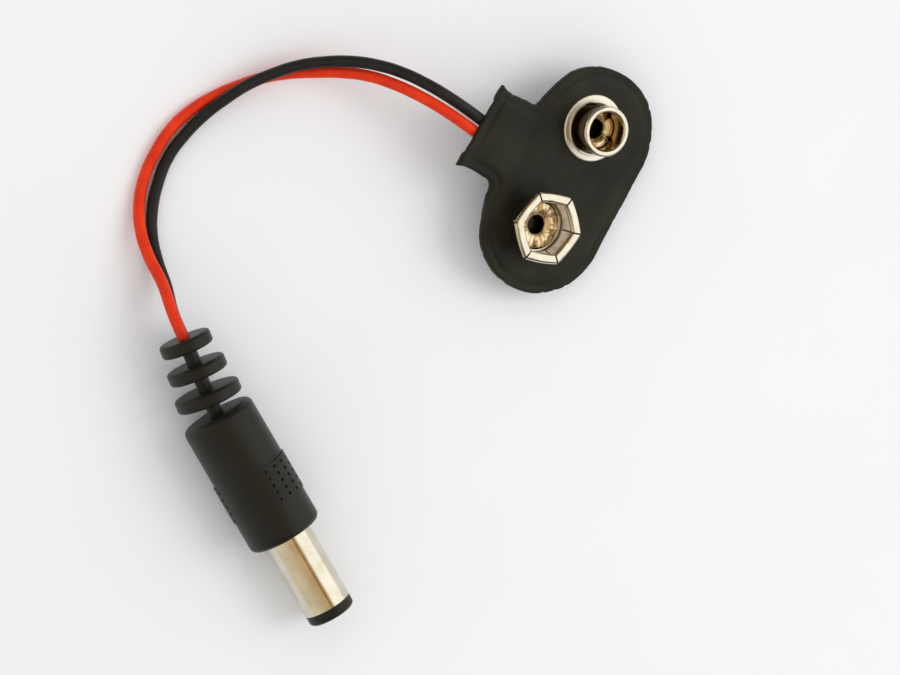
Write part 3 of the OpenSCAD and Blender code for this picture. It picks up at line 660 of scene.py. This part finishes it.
def cut_outline(loop):
    """An even, anticlockwise outline with the small wobbles of a hand-held cut."""
    closed = np.vstack([loop, loop[:1]])
    steps = np.linalg.norm(np.diff(closed, axis=0), axis=1)
    along = np.concatenate([[0], np.cumsum(steps)])
    at = np.linspace(0, along[-1], int(along[-1] / OUTLINE_STEP), endpoint=False)
    even = np.column_stack([np.interp(at, along, closed[:, k]) for k in (0, 1)])
    ahead = np.roll(even, -1, axis=0)
    if np.sum(even[:, 0] * ahead[:, 1] - ahead[:, 0] * even[:, 1]) < 0:
        even = even[::-1]
    even[:, 0] += SHEET_SHIFT * smooth_step(*SHIFT_RANGE, even[:, 0])
    slow = noise_field(even, scale=0.5, seed=3.1)
    fine = noise_field(even, scale=1.9, seed=7.7)
    nicks = noise_field(even, scale=1.3, seed=11.3)
    wobble = CUT_WOBBLE * (slow + FINE_WOBBLE * fine)
    wobble -= NICK_DEPTH * np.clip((nicks - NICK_LEVEL) / NICK_LEVEL, 0, 1)
    cut = even + wobble[:, None] * outward(even)
    for place, reach, move in TRIMS:
        share = np.exp(-np.sum((even - place) ** 2, axis=1) / reach ** 2)
        cut += share[:, None] * move
    return cut


def mouth_outline(loop):
    """The rear sheet's outline, which stops short of the front sheet's where the wires come out."""
    across = np.abs(loop[:, 1] - WIRE_SHIFT)
    inset = MOUTH_INSET * smooth_step(*MOUTH_RANGE, across) * (loop[:, 0] < TUNNEL_X + MOUTH_DEPTH)
    return loop + np.column_stack([inset, np.zeros(len(loop))])


def edge_distance(points, loop):
    """Distance of each point from the nearest stretch of the loop."""
    best = np.full(len(points), np.inf)
    for p, q in zip(loop, np.roll(loop, -1, axis=0)):
        run = q - p
        t = np.clip((points - p) @ run / (run @ run), 0, 1)
        best = np.minimum(best, np.hypot(*(points - p - t[:, None] * run).T))
    return best


def pocket_distance(points):
    """Distance of each point from the line between the centres of the pocket's round ends."""
    y = np.clip(points[:, 1], -END_PITCH / 2, END_PITCH / 2)
    return np.hypot(points[:, 0] - COVER_SHIFT, points[:, 1] - y)


def contact_distance(points):
    """Distance of each point from the nearer contact's axis."""
    return np.min([np.hypot(points[:, 0], points[:, 1] - k * CONTACT_PITCH / 2) for k in (-1, 1)], axis=0)


def inside(points, loop):
    """True for each point inside the loop, by counting the edges that a ray crosses."""
    hits = np.zeros(len(points), int)
    for p, q in zip(loop, np.roll(loop, -1, axis=0)):
        if p[1] == q[1]:
            continue
        spans = (p[1] > points[:, 1]) != (q[1] > points[:, 1])
        cross = p[0] + (points[:, 1] - p[1]) * (q[0] - p[0]) / (q[1] - p[1])
        hits += spans & (points[:, 0] < cross)
    return hits % 2 == 1


def kept_inside(points, loop, clear):
    """The points inside the outline that stay clear of the rows along its rim."""
    points = points[inside(points, loop)]
    return points[edge_distance(points, loop) > EDGE_ROWS[-1] + clear]


def rim_rows(loop):
    """The outline, and rows of points that follow it further in."""
    rows = [loop]
    normal = outward(loop)
    for d in EDGE_ROWS:
        row = loop - d * normal
        rows.append(row[edge_distance(row, loop) > EDGE_ROW_KEEP * d])
    return rows


def pocket_ring(reach):
    """Points all round the pocket, at one distance from its middle line."""
    turn = np.linspace(0, 2 * math.pi, POCKET_TURN_STEPS, endpoint=False)
    arc = np.column_stack([COVER_SHIFT + reach * np.cos(turn), reach * np.sin(turn)])
    arc[:, 1] += np.where(arc[:, 1] > 0, END_PITCH / 2, -END_PITCH / 2)
    along = np.arange(-END_PITCH / 2 + ROW_STEP, END_PITCH / 2, ROW_STEP)
    sides = [np.column_stack([np.full_like(along, COVER_SHIFT + k * reach), along]) for k in (-1, 1)]
    return np.vstack([arc, *sides])


def tunnel_lines():
    """Points along both sides of the tunnel, from the tab's end to the pocket."""
    xs = np.arange(TUNNEL_X, COVER_SHIFT - POCKET_ROWS[-1] - ROW_CLEAR, ROW_STEP)
    ys = [WIRE_SHIFT + k * across for across in TUNNEL_ROWS for k in (-1, 1)]
    return np.array([(x, y) for y in ys for x in xs])


def rivet_holes():
    """Points round the two holes of the front sheet."""
    turn = np.linspace(0, 2 * math.pi, HOLE_STEPS, endpoint=False)
    return [np.column_stack([RIVET_HOLE_R * np.cos(turn), y + RIVET_HOLE_R * np.sin(turn)])
            for y in (-CONTACT_PITCH / 2, CONTACT_PITCH / 2)]


def even_field(loop):
    """An even field of points inside the rim's rows, every other row of it shifted by half a step."""
    low = loop.min(0)
    high = loop.max(0)
    xs = np.arange(low[0], high[0], FIELD_STEP)
    ys = np.arange(low[1], high[1], FIELD_STEP * FIELD_ROW_SHARE)
    field = np.array([(x + 0.5 * FIELD_STEP * (j % 2), y) for j, y in enumerate(ys) for x in xs])
    return kept_inside(field, loop, FIELD_RIM_CLEAR)


def triangles_over(loop, rows):
    """Triangles over all rows of points, the first of which is the outline."""
    points = [Vector(p) for p in np.vstack(rows)]
    outline = list(range(len(loop)))
    found = delaunay_2d_cdt(points, [], [outline], FILL_OUTLINE, SAME_POINT)
    return np.array([tuple(v) for v in found[0]]), np.array([tuple(f) for f in found[2]])


def front_grid(loop):
    """Points and triangles of the front sheet, with a hole for each rivet."""
    field = even_field(loop)
    field = field[contact_distance(field) > RIVET_HOLE_R + FIELD_HOLE_CLEAR]
    points, triangles = triangles_over(loop, [*rim_rows(loop), *rivet_holes(), field])
    solid = contact_distance(points[triangles].mean(1)) > HOLE_KEEP * RIVET_HOLE_R
    return points, triangles[solid]


def rear_grid(loop):
    """Points and triangles of the rear sheet, with rows round its pocket and along its tunnel."""
    rings = [kept_inside(pocket_ring(reach), loop, ROW_CLEAR) for reach in POCKET_ROWS]
    lines = tunnel_lines()
    field = even_field(loop)
    q = pocket_distance(field)
    off_pocket = (q < POCKET_ROWS[0] - FIELD_POCKET_CLEAR) | (q > POCKET_ROWS[-1] + FIELD_POCKET_CLEAR)
    field = field[off_pocket]
    across = np.abs(field[:, 1] - WIRE_SHIFT)
    beside = (across > TUNNEL_ROWS[0] - FIELD_TUNNEL_CLEAR) & (across < TUNNEL_ROWS[-1] + FIELD_TUNNEL_CLEAR)
    field = field[~(beside & (field[:, 0] < lines[:, 0].max()))]
    lines = kept_inside(lines, loop, ROW_CLEAR)
    return triangles_over(loop, [*rim_rows(loop), *rings, lines, field])


def sheet_mesh(name, points, triangles, top, bottom):
    """A closed sheet between two heights over the same triangles, which lies on the floor, not in it."""
    count = len(points)
    places = [SNAP @ Vector((*p, z)) for heights in (top, bottom) for p, z in zip(points, heights)]
    for place in places:
        place.z = max(place.z, 0)
    faces = [tuple(f) for f in triangles.tolist()]
    edges = {(a, b) for f in faces for a, b in zip(f, f[1:] + f[:1])}
    rim = [(a, b) for a, b in edges if (b, a) not in edges]
    faces += [tuple(i + count for i in reversed(f)) for f in faces]
    faces += [(b, a, a + count, b + count) for a, b in rim]
    data = bpy.data.meshes.new(name)
    data.from_pydata(places, [], faces)
    data.polygons.foreach_set("use_smooth", [True] * len(data.polygons))
    data.update()
    return data


def rounded_edge(d, radius):
    """Drop of a rounded edge at distance d from it."""
    t = np.clip(1 - d / radius, 0, 1)
    return radius * (1 - np.sqrt(1 - t * t))


def weld_groove(d, inset, width):
    """A groove from 0 to 1 along the weld, a little nearer the edge than the weld's inner side."""
    return np.exp(-(((d - WELD_W + inset) / width) ** 2))


def rim_lift(points, d):
    """Slow waves of the soft rim, shared by both sheets and still where the wires lie."""
    beside = np.where(points[:, 0] < STILL_X, np.abs(points[:, 1] - WIRE_SHIFT), FAR_FROM_WIRES)
    wave = RIM_WAVE * noise_field(points, scale=0.16, seed=1.3)
    return wave * smooth_step(*RIM_WAVE_RANGE, d) * smooth_step(*STILL_RANGE, beside)


def make_front_sheet(loop):
    points, triangles = front_grid(loop)
    d = edge_distance(points, loop)
    lift = rim_lift(points, d)
    crisp = smooth_step(*CRISP_RANGE, noise_field(points, scale=0.13, seed=9.4))
    reach = CRISP_SLOPE + FAINT_SLOPE * (1 - crisp)
    field = smooth_step(WELD_W - reach, WELD_W + reach, d)
    groove = (FAINT_GROOVE + (1 - FAINT_GROOVE) * crisp) * weld_groove(d, GROOVE_INSET, GROOVE_W)
    soft = SOFT_WAVE * noise_field(points, scale=0.24, seed=5.2)
    soft = soft * smooth_step(*SOFT_RIM_RANGE, d) * smooth_step(*SOFT_CONTACT_RANGE, contact_distance(points))
    top = lift - WELD_STEP * (1 - field) - GROOVE_DEPTH * groove + soft - rounded_edge(d, EDGE_ROUND)
    bottom = lift - COVER_T + rounded_edge(d, JOINT_ROUND)
    data = sheet_mesh("front_sheet", points, triangles, top, bottom)
    add_piece("front_sheet", data, "leatherette", "front_cover")


def rear_surface(points, sheet):
    """Height of the rear sheet's inner face, or of its outer face when grown by its thickness."""
    rim = -COVER_T - sheet
    q = pocket_distance(points)
    depth = POCKET_DEPTH * smooth_step(POCKET_TOP_R + sheet + POCKET_SOFT,
                                       POCKET_FLOOR_R + sheet - POCKET_SOFT, q)
    across = np.maximum(np.abs(points[:, 1] - WIRE_SHIFT) - WIRE_PITCH / 2, 0)
    r = WIRE_GAP + sheet
    round_part = np.minimum(across, TUNNEL_ROUND * r)
    fall = np.sqrt(r * r - round_part * round_part) - TUNNEL_SIDE * (across - round_part)
    tunnel = tunnel_z(points[:, 0]) - fall
    joined = smooth_min(rim - depth, tunnel, TUNNEL_BLEND)
    return np.where(points[:, 0] < COVER_SHIFT - POCKET_FLOOR_R, joined, rim - depth)


def make_rear_sheet(loop):
    points, triangles = rear_grid(loop)
    d = edge_distance(points, loop)
    lift = rim_lift(points, d)
    groove = REAR_GROOVE_DEPTH * weld_groove(d, REAR_GROOVE_INSET, REAR_GROOVE_W)
    inner = lift + rear_surface(points, 0) - rounded_edge(d, JOINT_ROUND)
    outer = lift + rear_surface(points, COVER_T) + groove + rounded_edge(d, EDGE_ROUND)
    data = sheet_mesh("rear_sheet", points, triangles, inner, outer)
    add_piece("rear_sheet", data, "leatherette", "rear_cover")


cover_outline = cut_outline(sheet_outline("front_cover"))
make_front_sheet(cover_outline)
make_rear_sheet(mouth_outline(cover_outline))


# Hollow rivets, split and flared into a star inside each contact

RIVET_STEPS = 360
RIVET_TUBE = [(0.85, -1.25), (1.7, -1.25), (1.8, -1.18), (1.8, -1.07), (1.7, -1.0), (1.15, -1.0),
              (1.15, 0.28)]
RIVET_FUNNEL = [(1.0, 0.1), (0.85, -0.5)]
FUNNEL_R = 1.1
FLARE_Z = 0.46
FLARE_T = 0.15
FLARE_SHARES = (0, 0.06, 0.14, 0.25, 0.4, 0.55, 0.7, 0.84, 0.94, 1)
FLARE_RISE = 1.5
FLARE_DROOP = 0.1
FLARE_UNDER_R = 1.2
STAR_POWER = 0.6
SPLIT_W = 0.2
CREASE_POWER = 2.5
STUD_LIFTS = (0.18, 0.0, 0.3, 0.08, 0.24)
SOCKET_LIFTS = (0.02, 0.14, 0.0, 0.1, 0.03, 0.16)


def rivet_section(flare, dome):
    """Radius, height and share of the star, once round the wall of a rivet."""
    top = []
    for t in FLARE_SHARES:
        rise = math.sin(min(1, FLARE_RISE * t) * math.pi / 2)
        z = FLARE_Z + dome * rise - FLARE_DROOP * t * t
        top.append((FUNNEL_R + (flare - FUNNEL_R) * t, z, t ** STAR_POWER))
    under = [(max(r, FLARE_UNDER_R), z - FLARE_T, share) for r, z, share in top[2:]]
    tube, funnel = ([(r, z, 0) for r, z in wall] for wall in (RIVET_TUBE, RIVET_FUNNEL))
    return tube + under + top[::-1] + funnel


def rivet_mesh(name, place, section, petals, split, lifts, crease, pleats=0, pleat=0):
    """A rivet revolved about its axis, whose flared end is split into creased and pleated petals."""
    data = bpy.data.meshes.new(name)
    work = bmesh.new()
    rings = []
    for k in range(RIVET_STEPS):
        turn = 2 * math.pi * k / RIVET_STEPS
        spread = turn * petals / (2 * math.pi)
        petal = int(spread)
        off = abs(spread - petal - 0.5) * 2
        cut = split * max(0, (off - (1 - SPLIT_W)) / SPLIT_W) ** 2
        fold = lifts[petal % len(lifts)] + crease * (1 - 2 * off ** CREASE_POWER)
        fold += pleat * abs((turn * pleats / (2 * math.pi)) % 2 - 1)
        ring = []
        for r, z, share in section:
            radius = r - cut * share
            spot = Vector((radius * math.cos(turn), radius * math.sin(turn), z + fold * share))
            ring.append(work.verts.new(place @ spot))
        rings.append(ring)
    for ring, after in zip(rings, rings[1:] + rings[:1]):
        for i in range(len(ring)):
            j = (i + 1) % len(ring)
            work.faces.new((ring[i], after[i], after[j], ring[j])).smooth = True
    bmesh.ops.recalc_face_normals(work, faces=work.faces)
    work.to_mesh(data)
    work.free()
    return data


stud_star = rivet_mesh("stud_rivet", STUD_PLACE, rivet_section(flare=2.1, dome=0.3), petals=5, split=0.7,
                       lifts=STUD_LIFTS, crease=0.15)
add_piece("stud_rivet", stud_star, "eyelet_brass", "stud_eyelet", finish="stud_brass")
socket_star = rivet_mesh("socket_rivet", SOCKET_PLACE, rivet_section(flare=2.6, dome=0.22), petals=6,
                         split=0.4, lifts=SOCKET_LIFTS, crease=0.1, pleats=40, pleat=0.05)
add_piece("socket_rivet", socket_star, "eyelet_brass", "socket_eyelet", finish="socket_brass")


# CAD nodes: each gets its material, and those that no piece replaces are seen with it

FINISHES = {"stud_contact": "stud_nickel", "socket_contact": "socket_nickel",
            "stud_eyelet": "stud_brass", "socket_eyelet": "socket_brass"}
for part in frame["record"]["subparts"]:
    kept = nodes[part["node"]]
    dress(kept, part["material_slot"], FINISHES.get(part["node"]))
    for face in kept.data.polygons:
        face.use_smooth = True


# Floor, backdrop and light, with places and sizes in metres

FLOOR_SIZE = 1.2
KEY_AT = Vector((0.3, 0.21, 0.47))
KEY_AIM = Vector((-0.01, -0.02, 0))
KEY_SIZE = 0.35
KEY_POWER = 1.0
FILL = 0.78

# Ways in which the reflections find a soft box, dark flags and the viewer, and their edges in degrees
SOFT_BOX = Vector((0.692, 0.464, 0.553)).normalized()
SOFT_BOX_EDGE = (36, 30)
VIEWER = Vector((0.236, 0.021, 0.971)).normalized()
VIEWER_EDGE = (45, 14)
LENS_EDGE = (6, 3)
FLAGS = (Vector((0.72, -0.6, 0.35)).normalized(), Vector((-0.62, 0.72, 0.3)).normalized())
FLAG_EDGE = (58, 42)

# Their light
WHITE = (1, 1, 1)
ROOM_LIGHT = (0.84, 0.75, 0.57)
FLAG_LIGHT = (0.1, 0.075, 0.05)
VIEWER_LIGHT = (0.7, 0.5, 0.27)
LENS_LIGHT = (0.3, 0.18, 0.07)
SOFT_BOX_LIGHT = (1.42, 1.4, 1.34)


def floor_material():
    material, tree, shader, where = new_material("floor", Roughness=0.8, Specular_IOR_Level=0.2)
    speck = noise_at(tree, where, scale=40, detail=3)
    link(tree, shader, Base_Color=ramp(tree, speck, FLOOR))
    return material


def make_floor():
    half = FLOOR_SIZE / 2
    corners = [(-half, -half, 0), (half, -half, 0), (half, half, 0), (-half, half, 0)]
    data = bpy.data.meshes.new("floor")
    data.from_pydata(corners, [], [(0, 1, 2, 3)])
    floor = bpy.data.objects.new("floor", data)
    scene.collection.objects.link(floor)
    data.materials.append(floor_material())


def facing(tree, way, edge):
    """Rises from 0 to 1 as the world's direction comes within two angles of a way."""
    where = tree.nodes.new("ShaderNodeTexCoord").outputs["Generated"]
    dot = vector_calc(tree, "DOT_PRODUCT", where, way).outputs["Value"]
    outer, inner = (math.cos(math.radians(angle)) for angle in edge)
    return step(tree, dot, outer, inner)


def make_world():
    """White behind the object, a soft box and a dim room in its reflections, and an even fill."""
    world = bpy.data.worlds.new("studio")
    world.use_nodes = True
    scene.world = world
    tree = world.node_tree
    path = tree.nodes.new("ShaderNodeLightPath")
    room = ROOM_LIGHT
    for way in FLAGS:
        room = blend(tree, facing(tree, way, FLAG_EDGE), room, FLAG_LIGHT)
    room = blend(tree, facing(tree, VIEWER, VIEWER_EDGE), room, VIEWER_LIGHT)
    room = blend(tree, facing(tree, VIEWER, LENS_EDGE), room, LENS_LIGHT)
    room = blend(tree, facing(tree, SOFT_BOX, SOFT_BOX_EDGE), room, SOFT_BOX_LIGHT)
    light = blend(tree, path.outputs["Is Glossy Ray"], (FILL, FILL, FILL), room)
    seen = blend(tree, path.outputs["Is Camera Ray"], light, WHITE)
    tree.links.new(seen, tree.nodes["Background"].inputs["Color"])


def make_key_light():
    data = bpy.data.lights.new("key", "AREA")
    data.shape = "SQUARE"
    data.size = KEY_SIZE
    data.energy = KEY_POWER
    lamp = bpy.data.objects.new("key", data)
    lamp.location = KEY_AT
    lamp.rotation_euler = (KEY_AIM - KEY_AT).to_track_quat("-Z", "Y").to_euler()
    lamp.visible_glossy = False
    scene.collection.objects.link(lamp)


make_floor()
make_world()
make_key_light()
